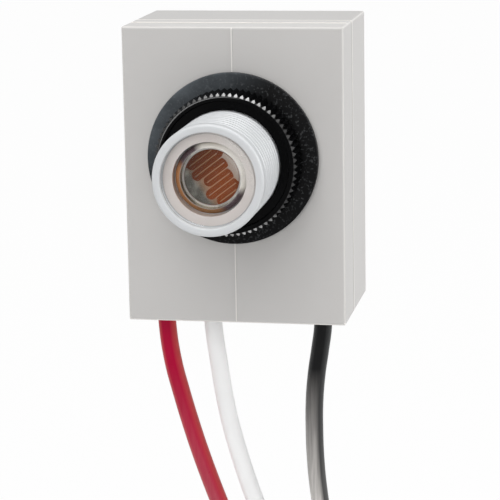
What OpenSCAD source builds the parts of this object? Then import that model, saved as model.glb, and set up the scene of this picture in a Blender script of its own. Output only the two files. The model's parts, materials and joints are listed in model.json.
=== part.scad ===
// Photocell switch: a heater-and-bimetal light switch in a moulded case.
// Millimetres, +Z up, the front faces -Y. The origin is on the neck's axis,
// in the plane of the locknut's front face, where the free thread starts.

/* [Case] */
// Width of the case
case_w = 44; // [42:0.5:60]
// Height of the case
case_h = 59.2; // [57:0.2:80]
// Depth of the case, front to back
case_d = 30; // [28:0.5:45]
// Wall thickness of both shells
wall = 2; // [1.6:0.1:2.4]
// Radius along the case's outside edges
edge_r = 0.5; // [0.4:0.1:1.2]
// Depth of the front cover, from its face to the parting line
cover_d = 11.2; // [10.5:0.1:13]
// Distance from the top of the case down to the neck's axis
neck_drop = 25.8; // [24:0.2:28]
// Depth of the lap joint between the two shells
lap_d = 3; // [2:0.2:4]
// Width of the groove at the parting line
groove_w = 0.5; // [0.3:0.1:1]
// Depth of the groove at the parting line
groove_d = 0.35; // [0.2:0.05:0.6]
// Width of the fine raised lines down the middle of the face and across the top
witness_w = 0.3; // [0.2:0.05:0.5]
// Height of those lines
witness_h = 0.12; // [0.05:0.01:0.2]
// Distance of the line across the top from the face
witness_set = 6.8; // [4:0.1:7.4]

/* [Neck and window] */
// Outside diameter of the neck's thread
neck_d = 21.3; // [20:0.1:22]
// Inside diameter of the neck
neck_bore = 16.4; // [16:0.1:17]
// Length of the neck in front of the case
neck_reach = 25.5; // [22:0.5:32]
// Radius round the neck's front rim
rim_r = 0.5; // [0.4:0.1:1.2]
// Diameter of the flange inside the case
flange_d = 27; // [25:0.5:30]
// Thickness of the flange inside the case
flange_t = 2.2; // [1.6:0.1:3]
// Diameter of the window
window_d = 18; // [17.6:0.1:18.6]
// Thickness of the window
window_t = 1.6; // [1:0.1:2.2]
// How far the window sits below the rim
window_sink = 0.2; // [0:0.05:0.5]

/* [Gasket and locknut] */
// Outside diameter of the gasket
gasket_d = 34; // [30:0.5:36]
// Thickness of the gasket
gasket_t = 1.6; // [1:0.1:2.5]
// Diameter over the tips of the locknut's teeth
nut_d = 28.2; // [27:0.1:29.5]
// Height of the locknut
nut_h = 7.4; // [5:0.2:9]
// Teeth round the locknut
nut_teeth = 72; // [48:1:90]
// Height of a tooth
tooth_h = 0.6; // [0.4:0.05:0.8]
// Height of a tooth's foot that its bevelled end leaves square
tooth_land = 0.08; // [0.04:0.02:0.2]
// Width of the locknut's raised front rim
nut_rim_w = 0.9; // [0.5:0.1:1.2]
// Depth of the locknut's front face below that rim
nut_dish = 0.6; // [0.2:0.1:1]

/* [Light cell] */
// Diameter of the cell
cell_d = 13.8; // [12.5:0.1:14]
// Thickness of the ceramic base
cell_base_t = 1.6; // [1:0.1:2.5]
// Diameter of the film
film_d = 10.6; // [9.6:0.1:11]
// Thickness of the film
film_t = 0.15; // [0.1:0.05:0.3]
// Thickness of the electrode lines
electrode_t = 0.1; // [0.05:0.05:0.2]
// Width of an electrode line
electrode_w = 0.22; // [0.15:0.01:0.3]
// Distance of the wide electrode pad's edge from the film's middle
pad_set = 3; // [2.6:0.1:4]
// Width of the narrow electrode pad on the other side
pad_w = 0.6; // [0.4:0.1:1.2]
// Bars of film between the electrode lines
film_bars = 9; // [5:2:13]
// Slope of the bars
film_angle = 37; // [0:1:90]
// Thickness of the clear cap over the film
cap_t = 1.4; // [1:0.1:2]
// Space between the cap and the window
cap_gap = 0.8; // [0.4:0.1:2]
// Diameter of the post that carries the cell
post_d = 12; // [11:0.2:13]
// Diameter of the hole down the post
post_bore = 8; // [7.8:0.1:8.6]
// Wall of the cup at the head of the post
cup_wall = 0.8; // [0.5:0.1:0.9]

/* [Switch] */
// Thickness of the base plate
base_t = 2.4; // [1.6:0.1:3]
// Thickness of the brass strips
strip_t = 0.8; // [0.5:0.1:1]
// Width of the brass strips
strip_w = 5; // [4:0.2:6]
// Width of the bimetal blade
blade_w = 6; // [4:0.2:7]
// Thickness of the bimetal blade
blade_t = 0.5; // [0.3:0.05:0.8]
// Diameter of the contact buttons
contact_d = 4; // [3:0.1:4.8]
// Thickness of a contact button
contact_t = 1.2; // [0.8:0.1:1.6]
// Diameter of the heater
heater_d = 5; // [4:0.1:5.2]
// Length of the heater
heater_len = 15; // [10:0.5:16]
// Diameter of the thin connecting wires
link_d = 0.7; // [0.5:0.05:0.7]
// Diameter of a rivet's shank
rivet_d = 2.4; // [1.8:0.1:2.6]
// Diameter of a rivet's heads
rivet_head_d = 4; // [3.4:0.1:4.2]
// Diameter of the four corner posts in the rear case
stand_d = 5; // [4:0.1:6]
// Diameter of the pegs on those posts
peg_d = 2.6; // [2:0.1:3]

/* [Leads] */
// Outside diameter of a lead
lead_d = 3.7; // [3:0.1:3.8]
// Diameter of the bare conductor
core_d = 2; // [1.4:0.1:2.2]
// Distance of the red lead from the case's left side
red_inset = 5.2; // [5:0.1:6]
// Distance between the red and white leads
lead_pitch = 9.6; // [8:0.1:10]
// Distance of the black lead from the case's right side
black_inset = 6.2; // [6:0.1:7]
// Length of a lead inside the case's bottom wall, up to its terminal
lead_inside = 4.4; // [4:0.1:6]
// Length of the stripped end
strip_len = 12; // [8:0.5:16]
// Length of a terminal's crimped barrel
barrel_len = 5; // [4:0.2:6]

/* [Clearances] */
// Gap round parts that are set into one another
fit = 0.1; // [0.05:0.01:0.2]
// Gap round the neck where the cover, gasket and locknut pass over it
neck_fit = 0.15; // [0.1:0.05:0.3]
// Gap round a lead where it leaves the case
lead_fit = 0.15; // [0.1:0.05:0.3]
// Gap between the base plate and the case walls
plate_fit = 0.3; // [0.2:0.05:0.6]
// Gap between the closed contacts, and under the blade's root
contact_gap = 0.1; // [0.05:0.05:0.2]
// Relief of the neck behind the free thread
neck_relief = 0.3; // [0.2:0.05:0.5]

/* [Hidden] */
$fn = 64;
eps = 0.01;

// Planes from front to back
face_y = gasket_t + nut_h;
tip_y = face_y - neck_reach;
seam_y = face_y + cover_d;
back_y = face_y + case_d;
window_y = tip_y + window_sink;
cap_y = window_y + window_t + cap_gap;
film_y = cap_y + cap_t;
cell_y = film_y + film_t + electrode_t;
cell_back_y = cell_y + cell_base_t;
base_y = seam_y + lead_d/2 + plate_fit;
rear_y = base_y + base_t;
strip_y = rear_y + strip_t;
contact_y = strip_y + contact_t;
blade_y = contact_y + contact_gap + contact_t;

// Edges of the case and of the space inside it
top_z = neck_drop;
bottom_z = neck_drop - case_h;
half_w = case_w/2;
in_x = half_w - wall;
in_top = top_z - wall;
in_bottom = bottom_z + wall;

// Places on the base plate: across, and up
red_x = red_inset - half_w;
white_x = red_x + lead_pitch;
black_x = half_w - black_inset;
barrel_z = in_bottom + lead_inside;
rivet_rise = 4;
rivet_z = barrel_z + barrel_len + rivet_rise;
red_shift = 2.8;
red_rivet_x = red_x + red_shift;
black_shift = 3.8;
black_rivet_x = black_x - black_shift;
bar_rise = 1.7;
bar_z = post_bore/2 + cup_wall + bar_rise;
bar_top = bar_z + strip_w;
contact_z = bar_z + strip_w/2;
seat_len = 5;
foot_bottom = rivet_z - seat_len - strip_w/2 - plate_fit;
foot_top = rivet_z + strip_w/2;
bracket_lip = 1;
bracket_x = black_rivet_x - blade_w/2 - bracket_lip;
heater_gap = 1.7;
heater_x = bracket_x - heater_gap - heater_d/2;
heater_y = strip_y + heater_d/2 + plate_fit;
heater_rise = 3.5;
heater_bottom = foot_top + heater_rise;
heater_top = heater_bottom + heater_len;
link_x = -2.4;
link_z = 2;
join_z = heater_top + 2*link_d;
post_bite = 0.2;
stand_x = in_x - stand_d/2 + post_bite;
stand_top = in_top - stand_d/2 + post_bite;
stand_bottom = in_bottom + stand_d/2 - post_bite;

// Paths of the leads below the case: steps across and down from where each one leaves it
RED_PATH = [[0.1, -3.6], [1.1, -11.3], [2.7, -17.9], [4.5, -24.4], [6.5, -30.9], [9.1, -38.4],
    [11.9, -45.9], [14.7, -53.5], [17.2, -61.1], [19.3, -68.8], [21.1, -76.6], [22.5, -84.6],
    [23.5, -92.6], [24.1, -100.6], [24.4, -108.6], [24.5, -116.6], [24.5, -123.6], [24.5, -130.6],
    [24.5, -136.6]];
WHITE_PATH = [[0.2, -3.6], [1.1, -10.9], [2.6, -20.7], [4.1, -27.3], [5.6, -32.6], [7.3, -38],
    [10, -45.6], [12.8, -53.2], [15.4, -60.9], [17.7, -68.6], [19.6, -76.6], [21.1, -84.6],
    [22.2, -92.6], [22.9, -100.6], [23.3, -108.6], [23.4, -116.6], [23.4, -123.6], [23.4, -130.6],
    [23.4, -136.6]];
BLACK_PATH = [[-0.1, -3.1], [-0.7, -7.6], [-1.5, -12.9], [-2, -18.5], [-2.1, -25], [-1.9, -31.5],
    [-1.4, -37.4], [-0.4, -44.6], [1.1, -52.6], [2.8, -60.6], [4.4, -68.6], [5.8, -76.6],
    [6.9, -84.6], [7.7, -92.6], [8.2, -100.6], [8.5, -108.6], [8.6, -116.6], [8.6, -126.6],
    [8.6, -138.6]];
// Route of a lead from its terminal, through the bottom wall and along its path
function route(x, path) = concat(
    [[x, seam_y, barrel_z], [x, seam_y, in_bottom]],
    [for (p = path) [x + p[0], seam_y, bottom_z + p[1]]]);
RED_ROUTE = route(red_x, RED_PATH);
WHITE_ROUTE = route(white_x, WHITE_PATH);
BLACK_ROUTE = route(black_x, BLACK_PATH);
LEAD_SIDES = 8;

// Tube swept along a route that runs mostly downwards
function unit(v) = v/norm(v);
function heading(route, i) =
    unit(route[min(i + 1, len(route) - 1)] - route[max(i - 1, 0)]);
function ring(centre, along, r) =
    let (side = unit(cross([0, 1, 0], along)), front = cross(along, side))
    [for (k = [0:LEAD_SIDES - 1])
        let (a = 360*k/LEAD_SIDES) centre + r*(cos(a)*side + sin(a)*front)];
module tube(route, d) {
    n = LEAD_SIDES;
    last = len(route) - 1;
    points = [for (i = [0:last]) each ring(route[i], heading(route, i), d/2)];
    sides = [for (i = [0:last - 1]) for (k = [0:n - 1])
        [i*n + k, i*n + (k + 1)%n, (i + 1)*n + (k + 1)%n, (i + 1)*n + k]];
    start = [[for (k = [n - 1:-1:0]) k]];
    finish = [[for (k = [0:n - 1]) last*n + k]];
    polyhedron(points, concat(sides, start, finish));
}

// Cylinder along Y, from one plane to another
module along_y(r, y0, y1) {
    translate([0, y1, 0]) rotate([90, 0, 0]) cylinder(r = r, h = y1 - y0);
}

// Turns a profile of [radius, y] points about the neck's axis
module turned(profile) {
    rotate([-90, 0, 0]) rotate_extrude() polygon(profile);
}

// Box between two corners
module block(low, high) {
    translate(low) cube(high - low);
}

// Rectangle from the origin, with round corners
module round_rect(w, h) {
    translate([edge_r, 0]) square([w - 2*edge_r, h]);
    translate([0, edge_r]) square([w, h - 2*edge_r]);
    for (x = [edge_r, w - edge_r], y = [edge_r, h - edge_r]) translate([x, y]) circle(edge_r);
}

// Outside of the whole case, rounded along every edge
module case_form() {
    translate([-half_w, face_y, bottom_z]) intersection() {
        linear_extrude(case_h) round_rect(case_w, case_d);
        translate([0, case_d, 0]) rotate([90, 0, 0]) linear_extrude(case_d) round_rect(case_w, case_h);
        rotate([90, 0, 90]) linear_extrude(case_w) round_rect(case_d, case_h);
    }
}

// Holes through the case's bottom wall for the leads, half in each shell
module lead_holes() {
    for (x = [red_x, white_x, black_x])
        translate([x, seam_y, bottom_z - 1]) cylinder(d = lead_d + 2*lead_fit, h = wall + 2);
}

// Inside of the case grown by a margin, between two planes
module inside(grow, y0, y1) {
    block([-in_x - grow, y0, in_bottom - grow], [in_x + grow, y1, in_top + grow]);
}

// Fine raised line on the middle of the face, between two heights
module face_line(low_z, high_z) {
    block([-witness_w/2, face_y - witness_h, low_z], [witness_w/2, face_y + wall/2, high_z]);
}

// Fine raised line across the top
module top_line() {
    end_x = half_w - edge_r;
    line_y = face_y + witness_set;
    block([-end_x, line_y - witness_w/2, top_z - wall/2], [end_x, line_y + witness_w/2, top_z + witness_h]);
}

module front_cover() {
    collar_r = flange_d/2 + fit;
    color("#bebdbb") difference() {
        union() {
            difference() {
                intersection() {
                    case_form();
                    block([-case_w, face_y - 1, bottom_z - 1], [case_w, seam_y, top_z + 1]);
                }
                inside(0, face_y + wall, seam_y + 1);
                inside(wall/2, seam_y - lap_d, seam_y + 1);
            }
            along_y(collar_r + wall, face_y + wall - eps, face_y + wall + flange_t);
            face_line(gasket_d/2, top_z - edge_r);
            face_line(bottom_z + edge_r, -gasket_d/2);
            top_line();
        }
        along_y(neck_d/2 + neck_fit, face_y - 1, seam_y);
        along_y(collar_r, face_y + wall, seam_y);
        lead_holes();
    }
}

module rear_case() {
    grip = wall/2 - fit;
    color("#bdbbb8") difference() {
        union() {
            difference() {
                intersection() {
                    case_form();
                    block([-case_w, seam_y, bottom_z - 1], [case_w, back_y + 1, top_z + 1]);
                }
                difference() {
                    block([-case_w, seam_y - 1, bottom_z - 1], [case_w, seam_y + groove_w, top_z + 1]);
                    inside(wall - groove_d, seam_y - 2, seam_y + groove_w + 1);
                }
            }
            inside(grip, seam_y - lap_d + fit, seam_y + eps);
        }
        inside(0, seam_y - lap_d - 1, back_y - wall);
        lead_holes();
    }
    color("#bdbbb8") for (x = [-stand_x, stand_x], z = [stand_bottom, stand_top]) translate([x, 0, z]) {
        along_y(stand_d/2, rear_y, back_y - wall + eps);
        along_y(peg_d/2, base_y, rear_y + eps);
    }
}

module lens_neck() {
    r = neck_d/2;
    seat = window_sink + window_t;
    color("#e6e8e8") difference() {
        union() {
            turned([[0, tip_y + rim_r], [r, tip_y + rim_r], [r, 0], [0, 0]]);
            turned([[0, 0], [r - neck_relief, 0], [r - neck_relief, face_y + wall], [0, face_y + wall]]);
            along_y(flange_d/2, face_y + wall, face_y + wall + flange_t);
            along_y(r - rim_r, tip_y, tip_y + rim_r + eps);
            translate([0, tip_y + rim_r, 0]) rotate([90, 0, 0])
                rotate_extrude() translate([r - rim_r, 0]) circle(rim_r);
        }
        along_y(neck_bore/2, tip_y - 1, seam_y);
        along_y(window_d/2 + fit, tip_y - 1, tip_y + seat);
    }
}

module window() {
    color("#e8e6e0") along_y(window_d/2, window_y, window_y + window_t);
}

module gasket() {
    color("#1c1d1e") difference() {
        along_y(gasket_d/2, nut_h, face_y);
        along_y(neck_d/2 + neck_fit, nut_h - 1, face_y + 1);
    }
}

// Star outline of the locknut's teeth
function teeth_outline() = [for (i = [0:2*nut_teeth - 1])
    let (a = 180*i/nut_teeth, r = nut_d/2 - (i%2)*tooth_h) r*[cos(a), sin(a)]];

module locknut() {
    root_r = nut_d/2 - tooth_h;
    dish_r = root_r - nut_rim_w;
    bevel_r = root_r + tooth_land;
    out_r = nut_d/2 + 1;
    color("#141516") difference() {
        intersection() {
            translate([0, nut_h, 0]) rotate([90, 0, 0]) linear_extrude(nut_h) polygon(teeth_outline());
            turned([[0, -1], [bevel_r - 1, -1], [out_r, out_r - bevel_r], [out_r, nut_h + 1], [0, nut_h + 1]]);
        }
        along_y(neck_d/2 + neck_fit, -1, nut_h + 1);
        along_y(dish_r, -1, nut_dish);
    }
}

module cell_base() {
    color("#ded6c4") difference() {
        along_y(cell_d/2, cell_y, cell_back_y);
        for (z = [-link_z, link_z])
            translate([link_x, 0, z]) along_y(link_d/2 + fit, cell_y + cell_base_t/2, cell_back_y + 1);
    }
}

module cell_film() {
    color("#9a4a2a") along_y(film_d/2, cell_y - film_t, cell_y);
}

// Two combs of pale lines that reach past each other, so the film winds to and fro between them
module cell_electrodes() {
    r = film_d/2 - electrode_w;
    pitch = film_d/film_bars;
    bar = pitch - electrode_w;
    color("#d8b48c") translate([0, cell_y - film_t, 0]) rotate([90, 0, 0])
        linear_extrude(electrode_t) rotate(film_angle) {
            for (i = [1:film_bars - 1]) {
                across = i*pitch - film_d/2;
                rim = sqrt(r*r - across*across);
                low = i%2 == 0 ? bar - min(pad_set, rim) : -rim;
                high = i%2 == 0 ? rim : min(r - pad_w, rim) - bar;
                translate([low, across - electrode_w/2]) square([high - low, electrode_w]);
            }
            intersection() {
                circle(r);
                union() {
                    translate([-r, -r]) square([r - pad_set, 2*r]);
                    translate([r - pad_w, -r]) square([pad_w, 2*r]);
                }
            }
        }
}

module cell_cover() {
    r = cell_d/2;
    color("#e9e2d6") difference() {
        union() {
            turned([[0, cap_y], [r - cap_t/2, cap_y], [r - cap_t/2, cell_y], [0, cell_y]]);
            along_y(r, cap_y + cap_t/2, cell_y);
            translate([0, cap_y + cap_t/2, 0]) rotate([90, 0, 0])
                rotate_extrude() translate([r - cap_t/2, 0]) circle(cap_t/2);
        }
        along_y(film_d/2 + fit, film_y, cell_y + 1);
    }
}

// Round wire through a list of corners
module link(points) {
    for (i = [0:len(points) - 2]) {
        a = points[i];
        b = points[i + 1];
        run = b - a;
        turn = abs(run[0]) > eps ? [0, 90, 0] : abs(run[1]) > eps ? [-90, 0, 0] : [0, 0, 0];
        low = [min(a[0], b[0]), min(a[1], b[1]), min(a[2], b[2])];
        translate(low) rotate(turn) cylinder(d = link_d, h = norm(run));
        if (i > 0) translate(a) sphere(d = link_d);
    }
}

module cell_leads() {
    start_y = cell_y + cell_base_t/2;
    low_y = rear_y + link_d/2 + fit;
    color("#c9c9c9") {
        link([[link_x, start_y, link_z], [link_x, heater_y - link_d/2, link_z]]);
        link([[link_x, start_y, -link_z], [link_x, low_y, -link_z], [link_x, low_y, rivet_z],
            [white_x + rivet_head_d/2, low_y, rivet_z]]);
    }
}

module cell_post() {
    cup_r = cell_d/2 + fit + cup_wall;
    color("#d9d6cc") difference() {
        union() {
            along_y(post_d/2, cell_back_y, base_y);
            along_y(cup_r, cell_back_y - cell_base_t, cell_back_y + cup_wall);
            along_y(post_d/2 + wall, base_y - wall, base_y);
            along_y(post_bore/2 + cup_wall, base_y - eps, rear_y);
        }
        along_y(cell_d/2 + fit, cell_back_y - cell_base_t - 1, cell_back_y);
        along_y(post_bore/2, tip_y, rear_y + 1);
    }
}

// Holes through the base plate for the three rivets
module rivet_holes(y0, y1) {
    for (x = [red_rivet_x, white_x, black_rivet_x])
        translate([x, 0, rivet_z]) along_y(rivet_d/2 + fit/2, y0, y1);
}

module switch_base() {
    color("#6b4a32") difference() {
        block([-in_x + plate_fit, base_y, in_bottom + plate_fit], [in_x - plate_fit, rear_y, in_top - plate_fit]);
        along_y(post_bore/2 + cup_wall + fit, base_y - 1, rear_y + 1);
        for (x = [-stand_x, stand_x], z = [stand_bottom, stand_top])
            translate([x, 0, z]) along_y(peg_d/2 + fit, base_y - 1, rear_y + 1);
        rivet_holes(base_y - 1, rear_y + 1);
    }
}

// Bent strip: a foot on the plate, a rise, and a seat for the blade's root
module blade_bracket() {
    seat_y = blade_y - contact_gap;
    color("#c8a04a") difference() {
        translate([bracket_x, 0, 0]) rotate([90, 0, 90]) linear_extrude(blade_w + 2*bracket_lip) polygon([
            [rear_y, foot_bottom], [seat_y, foot_bottom], [seat_y, foot_bottom + seat_len],
            [seat_y - strip_t, foot_bottom + seat_len], [seat_y - strip_t, foot_bottom + strip_t],
            [strip_y, foot_bottom + strip_t], [strip_y, foot_top], [rear_y, foot_top]]);
        rivet_holes(rear_y - 1, strip_y + 1);
    }
}

module bimetal_blade() {
    color("#b08a5a") block([black_rivet_x - blade_w/2, blade_y, foot_bottom],
        [black_rivet_x + blade_w/2, blade_y + blade_t, bar_top]);
}

module moving_contact() {
    color("#d4d2cc") translate([black_rivet_x, 0, contact_z])
        along_y(contact_d/2, blade_y - contact_t, blade_y);
}

module contact_arm() {
    color("#c8a04a") difference() {
        union() {
            block([red_rivet_x - strip_w/2, rear_y, rivet_z - strip_w/2],
                [red_rivet_x + strip_w/2, strip_y, bar_top]);
            block([red_rivet_x, rear_y, bar_z], [black_rivet_x + contact_d/2, strip_y, bar_top]);
        }
        rivet_holes(rear_y - 1, strip_y + 1);
    }
}

module fixed_contact() {
    color("#d4d2cc") translate([black_rivet_x, 0, contact_z]) along_y(contact_d/2, strip_y, contact_y);
}

module heater() {
    color("#a89878") translate([heater_x, heater_y, heater_bottom]) cylinder(d = heater_d, h = heater_len);
}

module heater_leads() {
    low_z = foot_top - link_d;
    foot_y = rear_y + link_d/2 + fit;
    color("#c9c9c9") {
        link([[heater_x, heater_y, heater_top], [heater_x, heater_y, join_z],
            [link_x, heater_y, join_z], [link_x, heater_y, link_z]]);
        link([[heater_x, heater_y, heater_bottom], [heater_x, heater_y, low_z],
            [heater_x, foot_y, low_z], [bracket_x, foot_y, low_z]]);
    }
}

// Crimped barrel on a flat foot that the rivet holds to the plate
module terminal(x, rivet_x) {
    barrel_r = lead_d/2;
    low_x = min(x, rivet_x) - barrel_r;
    high_x = max(x, rivet_x) + barrel_r;
    color("#c8a04a") difference() {
        union() {
            translate([x, seam_y, barrel_z]) cylinder(r = barrel_r, h = barrel_len);
            block([x - barrel_r, seam_y, barrel_z], [x + barrel_r, base_y, barrel_z + barrel_len]);
            block([low_x, base_y - strip_t, barrel_z + barrel_len - strip_t], [high_x, base_y, rivet_z + strip_w/2]);
        }
        rivet_holes(base_y - strip_t - 1, base_y + 1);
    }
}
module red_terminal() { terminal(red_x, red_rivet_x); }
module white_terminal() { terminal(white_x, white_x); }
module black_terminal() { terminal(black_x, black_rivet_x); }

module rivets() {
    front_y = base_y - strip_t;
    color("#d0b060") for (r = [[red_rivet_x, strip_y], [white_x, rear_y], [black_rivet_x, strip_y]])
        translate([r[0], 0, rivet_z]) {
            along_y(rivet_d/2, front_y - eps, r[1] + eps);
            along_y(rivet_head_d/2, front_y - strip_t, front_y);
            along_y(rivet_head_d/2, r[1], r[1] + strip_t);
        }
}

module red_lead() { color("#a5122f") tube(RED_ROUTE, lead_d); }
module white_lead() { color("#eeeeec") tube(WHITE_ROUTE, lead_d); }
module black_lead() { color("#1a1a1b") tube(BLACK_ROUTE, lead_d); }

// Bare end of a lead, straight on from its last point
module bare_end(route) {
    end = route[len(route) - 1];
    color("#c98a5a") translate([end[0], end[1], end[2] - strip_len]) cylinder(d = core_d, h = strip_len);
}
module red_tip() { bare_end(RED_ROUTE); }
module white_tip() { bare_end(WHITE_ROUTE); }
module black_tip() { bare_end(BLACK_ROUTE); }

front_cover();
rear_case();
lens_neck();
window();
gasket();
locknut();
cell_base();
cell_film();
cell_electrodes();
cell_cover();
cell_leads();
cell_post();
switch_base();
blade_bracket();
bimetal_blade();
moving_contact();
contact_arm();
fixed_contact();
heater();
heater_leads();
red_terminal();
white_terminal();
black_terminal();
rivets();
red_lead();
white_lead();
black_lead();
red_tip();
white_tip();
black_tip();
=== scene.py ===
"""Dresses the photocell switch: threaded lens neck, knurled locknut, light cell, leads and studio."""

import json
import math

import bmesh
import bpy
from mathutils import Matrix, Vector


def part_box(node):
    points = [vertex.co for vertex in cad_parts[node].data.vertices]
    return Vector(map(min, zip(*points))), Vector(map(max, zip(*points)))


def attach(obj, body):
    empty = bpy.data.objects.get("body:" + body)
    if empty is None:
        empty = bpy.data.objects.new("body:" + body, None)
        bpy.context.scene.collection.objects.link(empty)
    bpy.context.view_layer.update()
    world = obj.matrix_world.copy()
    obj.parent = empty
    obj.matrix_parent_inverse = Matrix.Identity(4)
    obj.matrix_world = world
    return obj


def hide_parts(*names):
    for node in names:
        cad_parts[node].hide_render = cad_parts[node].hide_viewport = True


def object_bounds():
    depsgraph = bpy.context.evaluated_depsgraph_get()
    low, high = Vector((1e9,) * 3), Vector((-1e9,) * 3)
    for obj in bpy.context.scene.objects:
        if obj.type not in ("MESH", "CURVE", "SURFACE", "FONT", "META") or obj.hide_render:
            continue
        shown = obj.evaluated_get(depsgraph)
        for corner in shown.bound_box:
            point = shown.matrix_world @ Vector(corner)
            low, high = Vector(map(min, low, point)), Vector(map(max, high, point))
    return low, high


bl_info = {
    "name": "Photocell switch",
    "version": (1, 0, 0),
    "blender": (4, 5, 0),
    "location": "View3D > Sidebar > Photocell",
    "description": "Models the visible pieces of a photocell switch over its packed solids",
    "category": "Object",
}

MM = 0.001
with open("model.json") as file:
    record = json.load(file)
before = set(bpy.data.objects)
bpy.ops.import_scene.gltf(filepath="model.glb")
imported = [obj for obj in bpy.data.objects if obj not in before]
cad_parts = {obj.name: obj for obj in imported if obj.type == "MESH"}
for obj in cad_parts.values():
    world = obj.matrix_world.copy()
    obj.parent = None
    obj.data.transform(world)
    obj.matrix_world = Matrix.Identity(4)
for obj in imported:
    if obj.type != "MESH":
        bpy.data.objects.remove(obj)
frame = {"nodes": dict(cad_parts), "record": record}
SOLIDS_BOX = [list(corner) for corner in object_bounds()]
NECK_RADIUS = frame["record"]["mounts"][0]["dims"]["r_mm"] * MM

# Each lead's way down from its hole in the case's underside, in mm across and up.
RED_WAY = [
    (0.1, -3.6), (1.1, -11.3), (2.7, -17.9), (4.5, -24.4), (6.5, -30.9), (9.1, -38.4), (11.9, -45.9),
    (14.7, -53.5), (17.2, -61.1), (19.3, -68.8), (21.1, -76.6), (22.5, -84.6), (23.5, -92.6), (24.1, -100.6),
    (24.4, -108.6), (24.5, -116.6), (24.5, -123.6), (24.5, -130.6), (24.5, -136.6),
]
WHITE_WAY = [
    (0.2, -3.6), (1.1, -10.9), (2.6, -20.7), (4.1, -27.3), (5.6, -32.6), (7.3, -38), (10, -45.6),
    (12.8, -53.2), (15.4, -60.9), (17.7, -68.6), (19.6, -76.6), (21.1, -84.6), (22.2, -92.6), (22.9, -100.6),
    (23.3, -108.6), (23.4, -116.6), (23.4, -123.6), (23.4, -130.6), (23.4, -136.6),
]
BLACK_WAY = [
    (-0.1, -3.1), (-0.7, -7.6), (-1.5, -12.9), (-2, -18.5), (-2.1, -25), (-1.9, -31.5), (-1.4, -37.4),
    (-0.4, -44.6), (1.1, -52.6), (2.8, -60.6), (4.4, -68.6), (5.8, -76.6), (6.9, -84.6), (7.7, -92.6),
    (8.2, -100.6), (8.5, -108.6), (8.6, -116.6), (8.6, -126.6), (8.6, -138.6),
]
# Where each lead leaves the case, across it in mm.
LEAD_EXITS = {"red": -16.8, "white": -7.2, "black": 15.8}
LEAD_WAYS = {"red": RED_WAY, "white": WHITE_WAY, "black": BLACK_WAY}
# How strong each insulation's painted pale sheen is half-way down.
LEAD_PAINTED_SHEEN = {"red": 0.1, "white": 0.0, "black": 0.9}
# The painted sheen each insulation pales to at its sides.
LEAD_SIDE_SHEEN = {"red": "#cf5a52", "white": "#ffffff", "black": "#4a4b4b"}
# The cell's electrode fingers lie at this slope across the film.
FINGER_COS = math.cos(math.radians(37))
FINGER_SIN = math.sin(math.radians(37))
# Where the film's track turns round, in mm across and along the fingers from the film's middle.
LEFT_TURNS = [(-4.1, -2.7), (-1.9, -3.1), (0.3, -1.9), (2.5, -3.1), (4.6, -2.1)]
RIGHT_TURNS = [(-3.0, 4.1), (-0.8, 4.15), (1.4, 3.75), (3.55, 3.6)]
# The printed metal's reach, half the track's width, a finger's stop before a turn and its half width, in mm.
FILM_EDGE = 5.2
TRACK_HALF = 1.05
FINGER_STOP = 0.6
FINGER_HALF = 0.09
# The right-hand comb's bays are shallow, and the fingers that face it start part of the way to the rim.
SHALLOW_BAY = 0.45
SHORT_SHARE = 0.45
# The side of the cell that is painted darker, as painted shade.
SHADED_SIDE = (-0.87, 0, 0.5)
# Colours round the cell's rim, painted as the film's colours refracted in the cap's rounded edge, with two
# dark arcs, and where each stands as a share of a turn.
RIM_TONES = {"copper": "#ac7850", "brown": "#85603f", "dark_arc": "#54464a", "bare": "#dedad2"}
RIM_STOPS = [
    (0.0, "copper"), (0.2, "brown"), (0.29, "brown"), (0.33, "dark_arc"), (0.42, "dark_arc"), (0.46, "bare"),
    (0.79, "bare"), (0.83, "dark_arc"), (0.91, "dark_arc"), (0.95, "copper"),
]
# How far from the neck's axis the window's painted grey edge line lies.
WINDOW_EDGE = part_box("window")[1].x - 0.12 * MM
# From the axis too: where the cap's band of painted rim colours comes in and goes out, and the ceramic's
# painted rim colours come in.
CAP_BAND_IN = (5.7 * MM, 5.9 * MM)
CAP_BAND_OUT = (6.7 * MM, 6.85 * MM)
CERAMIC_RIM_BAND = (6.2 * MM, 6.4 * MM)
# Thin lines, each a place and a half width: a painted glint ring on the ceramic, from the axis, and the
# case's top line, behind its face, then its parting line and the painted shade in its joint, behind its seam;
# the top and parting lines are painted highlights.
GLINT_RING = (5.5 * MM, 0.18 * MM)
TOP_LINE = (6.8 * MM, 0.3 * MM)
PARTING_LINE = (0.8 * MM, 0.4 * MM)
JOINT_SHADE = (-0.1 * MM, 0.35 * MM)
# The witness line down the case's face runs along the middle; it is painted pale as a highlight.
WITNESS_LINE = (0.0, 0.11 * MM)
# How far above or below the axis the painted highlights on the nut's tooth ends start, and are at full
# strength.
GLINT_HEIGHTS = (8.5 * MM, 13.5 * MM)
# Between which heights, in mm, a lead's painted sheen comes in and fades away again.
SHEEN_COMES = (-74, -45)
SHEEN_FADES = (-112, -80)
# Rows of points down one thread of the neck, and the angle under which its faces blend.
ROWS_A_THREAD = 26
NECK_CREASE = 75
# Soft lamps: name, way from the object, distance, width and height in metres, and watts.
LAMPS = [
    ("key_softbox", (-0.12, -0.88, 0.45), 0.9, (0.6, 0.6), 2.7),
    ("right_softbox", (0.95, 0.05, 0.25), 0.9, (0.35, 0.35), 2.7),
    ("overhead_strip", (0.1, -0.28, 0.95), 0.8, (0.8, 0.14), 3.4),
]
LAMP_AIM = Vector((0, 0.01, -0.01))


def linear(code):
    """Turns an sRGB hex colour into the linear RGBA that shaders use."""
    shares = [int(code[at:at + 2], 16) / 255 for at in (1, 3, 5)]
    return tuple(s / 12.92 if s <= 0.04045 else ((s + 0.055) / 1.055) ** 2.4 for s in shares) + (1.0,)


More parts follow.
